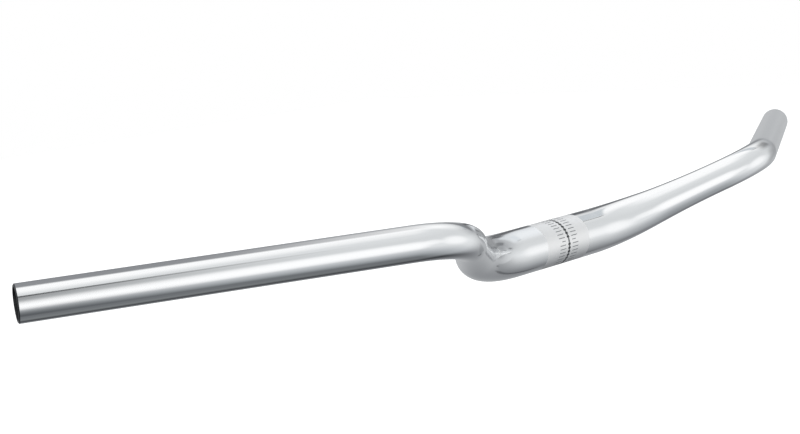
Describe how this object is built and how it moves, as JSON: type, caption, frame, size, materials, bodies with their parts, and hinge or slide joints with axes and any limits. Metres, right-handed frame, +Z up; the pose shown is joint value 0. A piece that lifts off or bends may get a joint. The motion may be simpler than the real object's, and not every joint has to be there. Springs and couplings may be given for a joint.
{
  "type": "bicycle handlebar",
  "caption": "Bent tapered aluminium handlebar for a bicycle: clamp stretch in the middle, legs running forward and up, grips swept well back, open ends.",
  "frame": {"origin": "centre of the clamp, on its axis, as the bar is held by a stem on a bicycle", "axes": "+X along the clamp's axis to the rider's right, +Y forward, +Z up with the grips level"},
  "size_m": [0.8096, 0.1322, 0.063],
  "materials": {
    "aluminium": "polished, bright"
  },
  "bodies": {
    "root": {"handlebar": "aluminium"}
  },
  "joints": []
}
